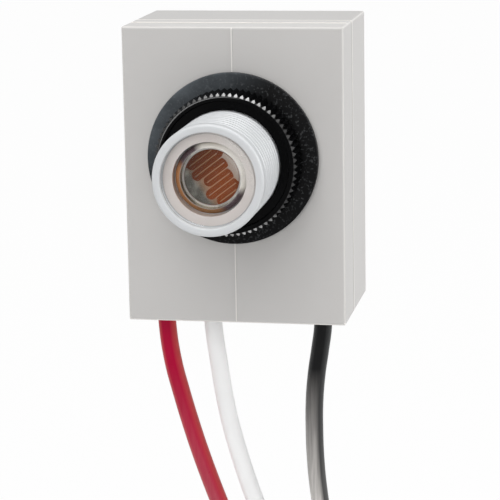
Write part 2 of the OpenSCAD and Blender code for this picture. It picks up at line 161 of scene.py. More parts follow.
def length(name, description, default_mm):
    """A length that the sidebar shows in the scene's unit."""
    return bpy.props.FloatProperty(name=name, description=description, default=default_mm * MM,
                                   min=0.0, precision=5, unit="LENGTH")


def colour(name, description, code):
    """A colour that the sidebar shows as a swatch."""
    return bpy.props.FloatVectorProperty(name=name, description=description, default=linear(code),
                                         size=4, min=0.0, max=1.0, subtype="COLOR")


class NeckSizes(bpy.types.PropertyGroup):
    """Sizes of the threaded lens neck and the cell's clear cap."""

    thread_pitch: length("Thread pitch", "From one thread ridge to the next, 14 to the inch", 1.814)
    thread_depth: length("Thread depth", "From crest to root of the moulded thread", 0.6)
    lead_in: length("Plain lead-in", "Smooth stretch behind the nose before the thread starts", 1.0)
    nose_round: length("Nose rounding", "Radius of the neck's front edge", 0.5)
    bore: length("Bore", "Inside diameter of the neck", 16.4)
    shelf: length("Shelf", "Opening in the shelf that the window rests on", 14.1)
    cap_round: length("Cap rounding", "Radius of the clear cap's front edge", 1.3)


class NutSizes(bpy.types.PropertyGroup):
    """Sizes of the knurled locknut and its gasket."""

    teeth: bpy.props.IntProperty(name="Teeth", description="Knurl teeth round the nut", default=72, min=12)
    tooth_depth: length("Tooth depth", "From tip to root of a knurl tooth", 0.6)
    end_slope: length("End slope", "How far the bevel runs back at a tooth's tip", 0.62)
    rim_width: length("Rim width", "Raised ring just inside the teeth", 0.9)
    dish: length("Dish", "How far the face is sunk inside the rim", 0.6)
    clearance: length("Clearance", "Gap between the neck's thread and what slides on it", 0.15)
    edge_soft: length("Moulded edge", "Rounding that the mould leaves on the nut's edges", 0.06)
    gasket_round: length("Gasket edge", "Rounding of the gasket's outer edge", 0.3)


class LeadSizes(bpy.types.PropertyGroup):
    """Sizes of the insulated leads and their stripped ends."""

    across: length("Insulation", "Outside diameter of a lead", 3.7)
    core: length("Core", "Diameter across the stranded copper", 2.0)
    stripped: length("Stripped end", "Bare copper at the end of a lead", 12.0)
    lay: bpy.props.FloatProperty(name="Strand turn", description="Turn of the strands over the stripped end",
                                 default=math.radians(150), subtype="ANGLE")


class Finishes(bpy.types.PropertyGroup):
    """Colours of the visible finishes."""

    case: colour("Case", "Moulded light grey of the case", "#c3c1bf")
    # Painted highlight colour: laid on the case's rounded edges, its mould line and its seam lines.
    edge_highlight: colour("Burnished edges", "Paler grey of rubbed edges and mould lines", "#e8e5e1")
    neck: colour("Neck", "Natural milky white of the neck", "#cfd1d3")
    # Painted shade colour that darkens the thread's grooves.
    groove: colour("Thread grooves", "Dust that greys the thread's grooves", "#7f8488")
    window: colour("Window", "Clear window's faint tint", "#f7f5f1")
    nut: colour("Locknut", "Black nylon", "#060607")
    # Painted highlight colour for the nut's tooth ends and the rim of its face.
    glint: colour("Scuffed nylon", "Nylon rubbed pale on the tooth ends", "#f0f0f0")
    gasket: colour("Gasket", "Black rubber", "#0d0d0e")
    film: colour("Film", "Sintered light-sensitive film", "#853f18")
    electrode: colour("Electrodes", "Evaporated metal on the film", "#b98b66")
    pad: colour("Electrode pad", "Tarnished end of the electrodes", "#56554e")
    red: colour("Red lead", "Red insulation", "#b00637")
    white: colour("White lead", "White insulation", "#fbfbfa")
    black: colour("Black lead", "Black insulation", "#141415")
    copper: colour("Copper", "Bare copper strands", "#c98660")
    brass: colour("Brass", "Stamped brass strips and terminals", "#c9a458")


def feed(node, feeds):
    """Feeds a node's inputs, by name or in the order they show, with values or other nodes' outputs."""
    if not isinstance(feeds, dict):
        shown = [at for at, socket in enumerate(node.inputs) if socket.enabled]
        feeds = dict(zip(shown, feeds))
    for socket, value in feeds.items():
        if isinstance(value, bpy.types.NodeSocket):
            node.id_data.links.new(value, node.inputs[socket])
        else:
            node.inputs[socket].default_value = value


def add_node(tree, kind, feeds=(), out=None, **settings):
    """Adds a node with its options and feeds, and gives its named output, or the first one that shows."""
    made = tree.nodes.new("ShaderNode" + kind)
    for option, value in settings.items():
        setattr(made, option, value)
    feed(made, feeds)
    return made.outputs[out] if out else next(socket for socket in made.outputs if socket.enabled)


def blank_material(name):
    """Starts a material and gives its node tree and main shader."""
    made = bpy.data.materials.new(name)
    made.use_nodes = True
    return made, made.node_tree, made.node_tree.nodes["Principled BSDF"]


def shade_of(tone, share):
    """The same colour, darker or paler by a share."""
    return tuple(min(1.0, part * share) for part in tone[:3]) + (1.0,)


def grained(name, pale, dark, rough, grain_mm, relief_mm, mottle_mm, **sockets):
    """A moulded, cast or rolled surface: two close tones in soft mottle, uneven gloss and a fine grain."""
    made, tree, shader = blank_material(name)
    place = add_node(tree, "TexCoord", out="Object")
    mottle = add_node(tree, "TexNoise", (place, 1 / (mottle_mm * MM), 4.0))
    # A mould's own grain is under 0.1 mm, so each finish draws it as coarse as it needs to show.
    grain = add_node(tree, "TexNoise", (place, 1 / (grain_mm * MM), 2.0))
    tone = add_node(tree, "Mix", (mottle, dark, pale), data_type="RGBA")
    gloss = add_node(tree, "MapRange", (grain, 0.0, 1.0, rough - 0.05, rough + 0.05))
    relief = add_node(tree, "Bump", {"Height": grain, "Strength": 1.0, "Distance": relief_mm * MM})
    feed(shader, {"Base Color": tone, "Roughness": gloss, "Normal": relief})
    feed(shader, {socket.replace("_", " "): value for socket, value in sockets.items()})
    return made


def brushed(name, tone, rough, line_mm, along):
    """Rolled or stamped metal: fine lines along the rolling direction that vary tone and gloss."""
    made, tree, shader = blank_material(name)
    place = add_node(tree, "TexCoord", out="Object")
    # Rolling lines lie a few hundredths of a mm apart, so they are drawn as coarse as they need to show.
    stretch = [1 / (line_mm * MM)] * 3
    stretch[along] /= 40
    lines = add_node(tree, "Mapping", {"Vector": place, "Scale": stretch})
    streak = add_node(tree, "TexNoise", (lines, 1.0, 3.0))
    tint = add_node(tree, "Mix", (streak, shade_of(tone, 0.78), shade_of(tone, 1.12)), data_type="RGBA")
    gloss = add_node(tree, "MapRange", (streak, 0.0, 1.0, rough - 0.08, rough + 0.08))
    feed(shader, {"Base Color": tint, "Roughness": gloss, "Metallic": 1.0})
    return made


def plain_paint(made):
    """A grained material's node tree, its plain colour and where a spot lies on the object."""
    tree = made.node_tree
    plain = tree.nodes["Principled BSDF"].inputs["Base Color"].links[0].from_socket
    return tree, plain, add_node(tree, "TexCoord", out="Object")


def painted(made, tone):
    """A grained material that shows a colour worked out over its plain one."""
    feed(made.node_tree.nodes["Principled BSDF"], {"Base Color": tone})
    return made


def from_axis(tree, place):
    """How far a spot lies from the neck's axis."""
    flat = add_node(tree, "VectorMath", (place, (1, 0, 1)), operation="MULTIPLY")
    return add_node(tree, "VectorMath", [flat], operation="LENGTH")


def round_axis(tree, place):
    """How far round the neck's axis a spot lies, as a share of a turn."""
    x, _, z = add_node(tree, "SeparateXYZ", [place]).node.outputs
    disc = add_node(tree, "CombineXYZ", (x, z))
    return add_node(tree, "TexGradient", [disc], out="Fac", gradient_type="RADIAL")


def rising(tree, place, way, start_mm, end_mm, least, most):
    """A share that goes from least to most along a direction, between two distances."""
    along = add_node(tree, "VectorMath", (place, way), operation="DOT_PRODUCT")
    return add_node(tree, "MapRange", (along, start_mm * MM, end_mm * MM, least, most))


def painted_rim_colours(tree, place):
    """Colours painted round the cell's rim: the film's copper and brown as the cap's rounded edge refracts
    them, and two dark arcs.
    """
    ramp = add_node(tree, "ValToRGB", [round_axis(tree, place)])
    stops = ramp.node.color_ramp.elements
    for at, (spot, tint) in enumerate(RIM_STOPS):
        stop = stops[at] if at < 2 else stops.new(spot)
        stop.position = spot
        stop.color = linear(RIM_TONES[tint])
    return ramp


def satin_abs(finish):
    """Moulded ABS case: satin, spark-textured, with painted highlights on its edges, mould line and seam
    lines, and painted shade in its joint and over the top's rear.
    """
    made = grained("moulded_grey_abs", shade_of(finish.case, 1.02), shade_of(finish.case, 0.97), 0.42,
                   0.35, 0.004, 14.0, IOR=1.54, Specular_IOR_Level=0.4)
    tree, plain, place = plain_paint(made)
    x, y, z = add_node(tree, "SeparateXYZ", [place]).node.outputs
    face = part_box("gasket")[1].y
    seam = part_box("front_cover")[1].y
    underside, top = (corner.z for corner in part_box("rear_case"))
    normal = add_node(tree, "NewGeometry", out="Normal")
    facing = add_node(tree, "VectorMath", [normal], operation="ABSOLUTE")
    flat = 0.0
    for part in add_node(tree, "SeparateXYZ", [facing]).node.outputs:
        flat = add_node(tree, "Math", (flat, part), operation="MAXIMUM")
    # Painted highlights: the rounded edges paler, those along the underside most.
    edge = add_node(tree, "MapRange", (flat, 0.8, 0.97, 0.4, 0.0))
    lower = add_node(tree, "Math", (z, underside + 0.6 * MM), operation="LESS_THAN")
    paler = add_node(tree, "Math", (lower, 1.5, 1.0), operation="MULTIPLY_ADD")
    share = add_node(tree, "Math", (edge, paler), operation="MULTIPLY")
    # Painted highlight: the mould line down the face's middle painted pale, as the light it catches.
    middle = add_node(tree, "Math", (x, *WITNESS_LINE), operation="COMPARE")
    fine = add_node(tree, "Math", (middle, 0.85), operation="MULTIPLY")
    front = add_node(tree, "Math", (y, face + 0.1 * MM), operation="LESS_THAN")
    down_face = add_node(tree, "Math", (fine, front), operation="MULTIPLY")
    # Painted highlights: the step across the top and the parting line behind the seam painted pale.
    set_back = add_node(tree, "Math", (y, face + TOP_LINE[0], TOP_LINE[1]), operation="COMPARE")
    upper = add_node(tree, "Math", (z, top - 0.1 * MM), operation="GREATER_THAN")
    over_top = add_node(tree, "Math", (set_back, upper), operation="MULTIPLY")
    parting = add_node(tree, "Math", (y, seam + PARTING_LINE[0], PARTING_LINE[1]), operation="COMPARE")
    for line in (down_face, over_top, parting):
        share = add_node(tree, "Math", (share, line), operation="MAXIMUM")
    highlighted = add_node(tree, "Mix", (share, plain, finish.edge_highlight), data_type="RGBA")
    # Painted shade: the seam's groove darkened.
    joint = add_node(tree, "Math", (y, seam + JOINT_SHADE[0], JOINT_SHADE[1]), operation="COMPARE")
    joint_shade = add_node(tree, "Math", (joint, 0.3), operation="MULTIPLY")
    # Painted shade: the top's rear half darker.
    rear = add_node(tree, "Math", (y, seam + 1.3 * MM), operation="GREATER_THAN")
    rear_top = add_node(tree, "Math", (rear, upper), operation="MULTIPLY")
    rear_top_shade = add_node(tree, "Math", (rear_top, 0.23), operation="MULTIPLY")
    painted_shade = add_node(tree, "Math", (joint_shade, rear_top_shade), operation="MAXIMUM")
    return painted(made, add_node(tree, "Mix", (painted_shade, highlighted, shade_of(finish.case, 0.3)), data_type="RGBA"))


def natural_polypropylene(finish, sizes):
    """Moulded natural polypropylene neck: milky, with painted shade down in the thread and inside behind the
    window, and the cell rim's colours painted on the shelf's lip.
    """
    made = grained("natural_polypropylene", finish.neck, shade_of(finish.neck, 0.95), 0.3, 0.6, 0.003, 5.0,
                   IOR=1.49, Subsurface_Weight=0.15, Subsurface_Scale=0.0006,
                   Subsurface_Radius=(1.0, 0.98, 0.95))
    tree, plain, place = plain_paint(made)
    reach = from_axis(tree, place)
    # Painted shade down in the thread's grooves.
    root = NECK_RADIUS - sizes.thread_depth
    sunk = add_node(tree, "MapRange", (reach, root, root + 0.8 * sizes.thread_depth, 0.75, 0.0))
    wall = add_node(tree, "Math", (reach, root - 0.1 * sizes.thread_depth), operation="GREATER_THAN")
    depth = add_node(tree, "SeparateXYZ", [place], out="Y")
    behind = add_node(tree, "Math", (depth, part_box("lens_neck")[0].y + 1.2 * MM), operation="GREATER_THAN")
    thread = add_node(tree, "Math", (wall, behind), operation="MULTIPLY")
    share = add_node(tree, "Math", (sunk, thread), operation="MULTIPLY")
    retoned = add_node(tree, "Mix", (share, plain, finish.groove), data_type="RGBA")
    # Painted shade: darker and warmer inside the bore, behind the window.
    inside = add_node(tree, "Math", (reach, WINDOW_EDGE + 0.02 * MM), operation="LESS_THAN")
    bore_shaded = add_node(tree, "Mix", (inside, retoned, linear("#cdc6c2")), data_type="RGBA")
    # Painted light: the cell rim's colours laid on the shelf's lip, as if shining through it.
    lip = add_node(tree, "Math", (reach, sizes.shelf / 2 + 0.03 * MM), operation="LESS_THAN")
    lip_show_through = add_node(tree, "Math", (lip, 0.4), operation="MULTIPLY")
    return painted(made, add_node(tree, "Mix", (lip_show_through, bore_shaded, painted_rim_colours(tree, place)), data_type="RGBA"))


def clear_polycarbonate(finish):
    """Clear moulded window: all but unseen, with a painted grey shade line at its edge and a faint painted
    reflection to one side.
    """
    made, tree, shader = blank_material("clear_polycarbonate")
    place = add_node(tree, "TexCoord", out="Object")
    cloud = add_node(tree, "TexNoise", (place, 1 / (4 * MM), 3.0))
    smear = add_node(tree, "MapRange", (cloud, 0.0, 1.0, 0.04, 0.1))
    reach = from_axis(tree, place)
    # Painted shade: a thin grey line round the window's edge.
    edge = add_node(tree, "Math", (reach, WINDOW_EDGE, 0.1 * MM), operation="COMPARE")
    line = add_node(tree, "Math", (edge, 0.3), operation="MULTIPLY")
    # Painted reflection: a faint pale veil over one side.
    patch = rising(tree, place, (0.87, 0, 0.5), 5, 7.5, 0.008, 0.5)
    paler_share = add_node(tree, "Math", (patch, cloud), operation="MULTIPLY")
    veil = add_node(tree, "Math", (paler_share, line), operation="MAXIMUM")
    tint = add_node(tree, "Mix", (edge, finish.window, linear("#85878a")), data_type="RGBA")
    feed(shader, {"Base Color": tint, "Alpha": veil, "Roughness": smear, "IOR": 1.58})
    return made


def cast_clear_resin(finish):
    """Clear cast cap over the cell: unseen from the front, its rounded edge painted with the rim's colours as
    it refracts them.
    """
    made, tree, shader = blank_material("cast_clear_resin")
    place = add_node(tree, "TexCoord", out="Object")
    swirl = add_node(tree, "TexNoise", (place, 1 / (3 * MM), 2.0))
    smooth = add_node(tree, "MapRange", (swirl, 0.0, 1.0, 0.03, 0.1))
    reach = from_axis(tree, place)
    # Painted refraction: the rounded edge shows the rim's colours in a band.
    inner = add_node(tree, "MapRange", (reach, *CAP_BAND_IN))
    outer = add_node(tree, "MapRange", (reach, *CAP_BAND_OUT, 1.0, 0.04))
    band = add_node(tree, "Math", (inner, outer), operation="MULTIPLY")
    tint = add_node(tree, "Mix", (band, finish.window, painted_rim_colours(tree, place)), data_type="RGBA")
    veil = add_node(tree, "Math", (band, 0.004), operation="MAXIMUM")
    feed(shader, {"Base Color": tint, "Roughness": smooth, "Alpha": veil})
    feed(shader, {"IOR": 1.5, "Specular IOR Level": 0.1})
    return made


def black_nylon(finish, rim):
    """Moulded black nylon nut: deep black with small clean glints, and a painted highlight along its rim on
    one side.
    """
    made = grained("moulded_black_nylon", shade_of(finish.nut, 1.1), shade_of(finish.nut, 0.8), 0.16,
                   0.5, 0.002, 3.0, IOR=1.53, Specular_IOR_Level=0.045)
    tree, plain, place = plain_paint(made)
    # Painted highlight: the rim's edge paler towards the upper left.
    edge = add_node(tree, "Math", (from_axis(tree, place), rim, 0.1 * MM), operation="COMPARE")
    side = rising(tree, place, (-0.6, 0, 0.8), 8, 12.5, 0.0, 0.22)
    share = add_node(tree, "Math", (edge, side), operation="MULTIPLY")
    return painted(made, add_node(tree, "Mix", (share, plain, finish.glint), data_type="RGBA"))


def scuffed_nylon(finish, teeth):
    """The nut's tooth ends: painted highlights, pale up their middles, strongest above and below the axis and
    towards the right.
    """
    made = grained("scuffed_nylon", finish.glint, shade_of(finish.glint, 0.05), 0.24, 0.3, 0.01, 1.1,
                   IOR=1.53, Specular_IOR_Level=0.3)
    tree, plain, place = plain_paint(made)
    x, _, z = add_node(tree, "SeparateXYZ", [place]).node.outputs
    height = add_node(tree, "Math", [z], operation="ABSOLUTE")
    # Painted highlights: strongest above and below the axis and towards the right.
    glint_height = add_node(tree, "MapRange", (height, *GLINT_HEIGHTS, 0.05, 1.0))
    side = add_node(tree, "MapRange", (x, -6 * MM, 0.0, 0.22, 1.0))
    held = add_node(tree, "Math", (glint_height, side), operation="MULTIPLY")
    tooth = add_node(tree, "Math", (round_axis(tree, place), float(teeth)), operation="MULTIPLY")
    aside = add_node(tree, "Math", (tooth, 0.5), operation="PINGPONG")
    crest = add_node(tree, "MapRange", (aside, 0.19, 0.32, 1.0, 0.0))
    shiny = add_node(tree, "Math", (held, crest), operation="MULTIPLY")
    return painted(made, add_node(tree, "Mix", (shiny, finish.nut, plain), data_type="RGBA"))


def neoprene(finish):
    """Die-cut neoprene gasket: matte black with pale talc specks and a bluish painted sheen across the upper
    left.
    """
    made = grained("die_cut_neoprene", shade_of(finish.gasket, 1.25), shade_of(finish.gasket, 0.8), 0.34,
                   0.4, 0.02, 4.0, IOR=1.5, Specular_IOR_Level=0.07)
    tree, plain, place = plain_paint(made)
    # Talc is finer than this, and is drawn as coarse as it needs to show.
    talc = add_node(tree, "TexNoise", (place, 1 / (0.38 * MM), 1.0))
    specks = add_node(tree, "MapRange", (talc, 0.57, 0.74, 0.0, 0.3))
    retoned = add_node(tree, "Mix", (specks, plain, linear("#6c6e70")), data_type="RGBA")
    # Painted sheen: a bluish cloud across the upper left.
    drift = add_node(tree, "TexNoise", (place, 1 / (5 * MM), 3.0))
    sheen_spread = rising(tree, place, (-0.72, 0, 0.69), 4, 17, 0.0, 1.1)
    cloud = add_node(tree, "Math", (sheen_spread, drift), operation="MULTIPLY")
    return painted(made, add_node(tree, "Mix", (cloud, retoned, linear("#62686d")), data_type="RGBA"))


def ceramic_with_painted_rim():
    """Fired ceramic base: cream, with the painted rim colours round its edge and a painted glint ring round
    the film.
    """
    made = grained("fired_ceramic", linear("#e4dcc8"), linear("#d2c8b2"), 0.45, 0.2, 0.006, 1.5)
    tree, plain, place = plain_paint(made)
    reach = from_axis(tree, place)
    rim = add_node(tree, "MapRange", (reach, *CERAMIC_RIM_BAND))
    mixed = add_node(tree, "Mix", (rim, plain, painted_rim_colours(tree, place)), data_type="RGBA")
    # Painted highlight: a pale ring where the cap's well glints round the film.
    glint_ring = add_node(tree, "Math", (reach, *GLINT_RING), operation="COMPARE")
    return painted(made, add_node(tree, "Mix", (glint_ring, mixed, linear("#fbf8f2")), data_type="RGBA"))


def extruded_pvc(name, tone, sheen_strength, sides):
    """Extruded PVC insulation: smooth, with a painted sheen at its sides and a painted pale sheen along one
    side half-way down.
    """
    made = grained(name, shade_of(tone, 1.06), shade_of(tone, 0.92), 0.3, 1.6, 0.006, 7.0, IOR=1.53,
                   Specular_IOR_Level=0.1, Sheen_Weight=0.04, Sheen_Roughness=0.35)
    tree, plain, place = plain_paint(made)
    # Painted sheen: paler where the surface turns away to the sides.
    normal = add_node(tree, "NewGeometry", out="Normal")
    across = add_node(tree, "SeparateXYZ", [normal], out="X")
    sideways = add_node(tree, "Math", [across], operation="ABSOLUTE")
    turning = add_node(tree, "MapRange", (sideways, 0.4, 1.0, 0.0, 0.75))
    edge_sheened = add_node(tree, "Mix", (turning, plain, sides), data_type="RGBA")
    # Painted sheen: a pale streaked band on the side facing front left, half-way down.
    facing = add_node(tree, "VectorMath", (normal, (-0.45, -0.89, 0)), operation="DOT_PRODUCT")
    side = add_node(tree, "MapRange", (facing, 0.4, 0.8, 0.08, 1.0))
    fine, long = 1 / (0.5 * MM), 1 / (9 * MM)
    lines = add_node(tree, "Mapping", {"Vector": place, "Scale": (fine, fine, long)})
    streak = add_node(tree, "TexNoise", (lines, 1.0, 2.0))
    shiny = add_node(tree, "MapRange", (streak, 0.3, 0.7, 0.75, 1.15))
    lie = add_node(tree, "Math", (side, shiny), operation="MULTIPLY")
    comes = rising(tree, place, (0, 0, 1), *SHEEN_COMES, sheen_strength, 0.0)
    fades = rising(tree, place, (0, 0, 1), *SHEEN_FADES, 0.15, 1.0)
    stretch = add_node(tree, "Math", (comes, fades), operation="MULTIPLY")
    share = add_node(tree, "Math", (stretch, lie), operation="MULTIPLY")
    return painted(made, add_node(tree, "Mix", (share, edge_sheened, linear("#d8d4d0")), data_type="RGBA"))


def sintered_film(finish):
    """Sintered cadmium film: dense orange-brown powder, blotched, with painted shade darkening it towards one
    side.
    """
    made = grained("sintered_film", shade_of(finish.film, 1.25), shade_of(finish.film, 0.7), 0.5,
                   0.12, 0.006, 1.2, Specular_IOR_Level=0.1)
    tree, plain, place = plain_paint(made)
    # Painted shade: darker towards the upper left.
    shade_share = rising(tree, place, SHADED_SIDE, -2, 4.5, 0.0, 0.85)
    return painted(made, add_node(tree, "Mix", (shade_share, plain, shade_of(finish.film, 0.25)), data_type="RGBA"))


def evaporated_metal(finish):
    """Evaporated electrodes: pale metal film, painted darker on the shaded side, one pad mottled grey and one
    hazed.
    """
    made = grained("evaporated_metal", finish.electrode, shade_of(finish.electrode, 0.86), 0.35,
                   0.1, 0.002, 0.8, Specular_IOR_Level=0.2)
    tree, plain, place = plain_paint(made)
    fingers = (FINGER_COS, 0, FINGER_SIN)
    # Painted shade: darker towards the upper left.
    shade_share = rising(tree, place, SHADED_SIDE, -1, 4.5, 0.0, 0.75)
    dimmed = add_node(tree, "Mix", (shade_share, plain, shade_of(finish.electrode, 0.25)), data_type="RGBA")
    blotch = add_node(tree, "TexNoise", (place, 1 / (1.6 * MM), 2.0))
    spots = add_node(tree, "MapRange", (blotch, 0.45, 0.68))
    pad = add_node(tree, "Mix", (spots, finish.pad, linear("#7d7a73")), data_type="RGBA")
    tarnish = rising(tree, place, fingers, -3.4, -1.2, 1.0, 0.0)
    mixed = add_node(tree, "Mix", (tarnish, dimmed, pad), data_type="RGBA")
    paler_share = rising(tree, place, fingers, 3.0, 3.8, 0.0, 1.0)
    return painted(made, add_node(tree, "Mix", (paler_share, mixed, linear("#ac9a8d")), data_type="RGBA"))


def pick(piece, test):
    """Selects, in edit mode, only the points of a piece whose place passes a test."""
    cage = bmesh.from_edit_mesh(piece.data)
    for point in cage.verts:
        point.select = False
    cage.select_flush(False)
    for point in cage.verts:
        point.select = bool(test(point.co))
    cage.select_flush_mode()
    bmesh.update_edit_mesh(piece.data)


def draw_line(name, points):
    """Starts a mesh as a line of points, or of (radius, depth) by the neck's axis; stays in edit mode."""
    places = [Vector((*point, 0)) if len(point) == 2 else Vector(point) for point in points]
    bpy.ops.object.select_all(action="DESELECT")
    bpy.ops.mesh.primitive_plane_add(size=MM)
    piece = bpy.context.object
    piece.name = piece.data.name = name
    bpy.ops.object.mode_set(mode="EDIT")
    bpy.ops.mesh.select_all(action="SELECT")
    bpy.ops.mesh.merge(type="CENTER")
    bpy.ops.transform.translate(value=places[0])
    for start, end in zip(places, places[1:]):
        bpy.ops.mesh.extrude_vertices_move(TRANSFORM_OT_translate={"value": end - start})
    return piece


def close_mesh(crease):
    """Merges doubles, turns faces outwards and smooths all but the sharp edges; ends edit mode."""
    bpy.ops.mesh.select_all(action="SELECT")
    bpy.ops.mesh.remove_doubles(threshold=0.002 * MM)
    bpy.ops.mesh.normals_make_consistent(inside=False)
    bpy.ops.object.mode_set(mode="OBJECT")
    bpy.ops.object.shade_smooth_by_angle(angle=math.radians(crease))


def turned(name, points, steps=128, crease=40):
    """Turns a line of (radius, depth) points once round the neck's axis, as on a lathe."""
    piece = draw_line(name, points)
    bpy.ops.mesh.select_all(action="SELECT")
    bpy.ops.mesh.spin(steps=steps, angle=math.tau, center=(0, 0, 0), axis=(0, 1, 0))
    close_mesh(crease)
    return piece


def arc(middle, radius, start, end, count=6):
    """Points on an arc in the (radius, depth) plane, between two angles in degrees."""
    angles = [math.radians(start + (end - start) * at / count) for at in range(count + 1)]
    return [(middle[0] + radius * math.cos(a), middle[1] + radius * math.sin(a)) for a in angles]


def stand_for(piece, node, body, finish):
    """Puts a finished piece in place of a solid: body to ride on and material."""
    piece.data.materials.clear()
    piece.data.materials.append(finish)
    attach(piece, body)
    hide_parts(node)


def dress(finish, *nodes):
    """Gives solids that keep their own shape a material."""
    for node in nodes:
        solid = frame["nodes"][node]
        solid.data.materials.clear()
        solid.data.materials.append(finish)


class PHOTOCELL_OT_leads(bpy.types.Operator):
    """Lays the three insulated leads down from the case, with their stripped copper ends."""

    bl_idname = "photocell.leads"
    bl_label = "Leads"

    def execute(self, context):
        sizes = context.scene.photocell_leads
        finish = context.scene.photocell_finishes
        # Drawn copper: warm, bright lines along each strand.
        copper = brushed("drawn_copper", finish.copper, 0.3, 0.12, 2)
        seam = sum(corner.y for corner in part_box("red_lead")) / 2
        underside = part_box("rear_case")[0].z
        for tint in ("red", "white", "black"):
            node = tint + "_lead"
            x = LEAD_EXITS[tint] * MM
            ways = [(x, seam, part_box(node)[1].z), (x, seam, underside + 2 * MM)]
            ways += [(x + dx * MM, seam, underside + dz * MM) for dx, dz in LEAD_WAYS[tint]]
            lead = self.insulation(tint + "_wire", ways, sizes.across / 2)
            tip = self.strands(tint + "_strands", Vector(ways[-1]), sizes)
            pvc = extruded_pvc(tint + "_pvc", getattr(finish, tint), LEAD_PAINTED_SHEEN[tint],
                               linear(LEAD_SIDE_SHEEN[tint]))
            stand_for(lead, node, "case", pvc)
            stand_for(tip, tint + "_tip", "case", copper)
        return {"FINISHED"}

    def insulation(self, name, ways, radius):
        """One smooth round lead through its points."""
        line = bpy.data.curves.new(name, "CURVE")
        line.dimensions = "3D"
        line.resolution_u = 6
        line.bevel_depth = radius
        line.bevel_resolution = 6
        line.use_fill_caps = True
        spline = line.splines.new("BEZIER")
        spline.bezier_points.add(len(ways) - 1)
        for knot, way in zip(spline.bezier_points, ways):
            knot.co = way
            knot.handle_left_type = knot.handle_right_type = "AUTO"
        lead = bpy.data.objects.new(name, line)
        bpy.context.scene.collection.objects.link(lead)
        return lead

    def strands(self, name, top, sizes):
        """Seven copper strands, one in the middle of six, drawn down and turned as they go."""
        steps = 14
        sides = 10
        lap = 0.5 * MM
        strand = sizes.core / 6
        drop = -(sizes.stripped + lap) / steps
        start = top + Vector((0, 0, lap))
        bpy.ops.object.select_all(action="DESELECT")
        bpy.ops.mesh.primitive_circle_add(vertices=sides, radius=strand, fill_type="NGON", location=start)
        piece = bpy.context.object
        piece.name = piece.data.name = name
        bpy.ops.object.transform_apply(location=True, rotation=False, scale=False)
        bpy.ops.object.mode_set(mode="EDIT")
        for at in range(6):
            turn = math.radians(60 * at)
            place = start + Vector((math.cos(turn), math.sin(turn), 0)) * strand * 2
            bpy.ops.mesh.primitive_circle_add(vertices=sides, radius=strand, fill_type="NGON", location=place)
        bpy.ops.mesh.select_all(action="SELECT")
        for _ in range(steps):
            bpy.ops.mesh.extrude_region_move(TRANSFORM_OT_translate={"value": (0, 0, drop)})
            bpy.ops.transform.rotate(value=sizes.lay / steps, orient_axis="Z", center_override=tuple(start))
        close_mesh(50)
        return piece


class PHOTOCELL_OT_case(bpy.types.Operator):
    """Gives both halves of the case their moulded finish."""

    bl_idname = "photocell.case"
    bl_label = "Case"

    def execute(self, context):
        dress(satin_abs(context.scene.photocell_finishes), "front_cover", "rear_case")
        return {"FINISHED"}


class PHOTOCELL_OT_neck(bpy.types.Operator):
    """Turns the lens neck with its screw thread, and the clear window in its nose."""

    bl_idname = "photocell.neck"
    bl_label = "Lens neck"

    def execute(self, context):
        sizes = context.scene.photocell_neck
        finish = context.scene.photocell_finishes
        low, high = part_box("lens_neck")
        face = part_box("gasket")[1].y
        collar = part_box("window")[1].y
        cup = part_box("cell_base")[0].y - 0.05 * MM
        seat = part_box("window")[1].x + 0.1 * MM
        shank = face + 2 * MM
        shoulder = low.y + sizes.nose_round
        brim = 0.2 * MM
        rows = [shank]
        while rows[-1] > shoulder:
            rows.append(max(rows[-1] - sizes.thread_pitch / ROWS_A_THREAD, shoulder))
        outline = [(sizes.bore / 2, high.y), (high.x, high.y), (high.x, shank)]
        outline += [(NECK_RADIUS, y) for y in rows[:-1]]
        outline += arc((NECK_RADIUS - sizes.nose_round, shoulder), sizes.nose_round, 0, -90)
        outline += arc((seat + brim, low.y + brim), brim, -90, -180, 3)
        outline += [(seat, collar), (sizes.shelf / 2, collar), (sizes.shelf / 2, cup),
                    (sizes.bore / 2, cup), (sizes.bore / 2, high.y)]
        neck = turned("threaded_neck", outline, steps=160, crease=NECK_CREASE)
        self.cut_thread(neck, sizes, low.y, face)
        stand_for(neck, "lens_neck", "case", natural_polypropylene(finish, sizes))
        window = self.window()
        window.visible_shadow = False
        stand_for(window, "window", "case", clear_polycarbonate(finish))
        return {"FINISHED"}

    def cut_thread(self, neck, sizes, nose, face):
        """Sinks a right-hand V groove with rounded crests into the neck's outer wall."""
        start = nose + sizes.nose_round + sizes.lead_in
        for point in neck.data.vertices:
            place = point.co
            if abs(math.hypot(place.x, place.z) - NECK_RADIUS) > 0.01 * MM or place.y > face + MM:
                continue
            run = min(1.0, max(0.0, (place.y - start) / sizes.thread_pitch))
            fade = min(1.0, max(0.0, (face - place.y) / sizes.thread_pitch))
            phase = place.y / sizes.thread_pitch + math.atan2(place.z, place.x) / math.tau
            groove = (0.5 - 0.5 * math.cos(math.tau * phase)) ** 2
            kept = 1 - sizes.thread_depth * run * fade * groove / NECK_RADIUS
            place.x *= kept
            place.z *= kept
        neck.data.update()
        bpy.ops.object.shade_smooth_by_angle(angle=math.radians(NECK_CREASE))

    def window(self):
        """A clear disc with softened edges."""
        low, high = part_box("window")
        soft = 0.15 * MM
        outline = [(0, low.y), (high.x - soft, low.y), (high.x, low.y + soft), (high.x, high.y - soft),
                   (high.x - soft, high.y), (0, high.y)]
        return turned("clear_window", outline, crease=30)


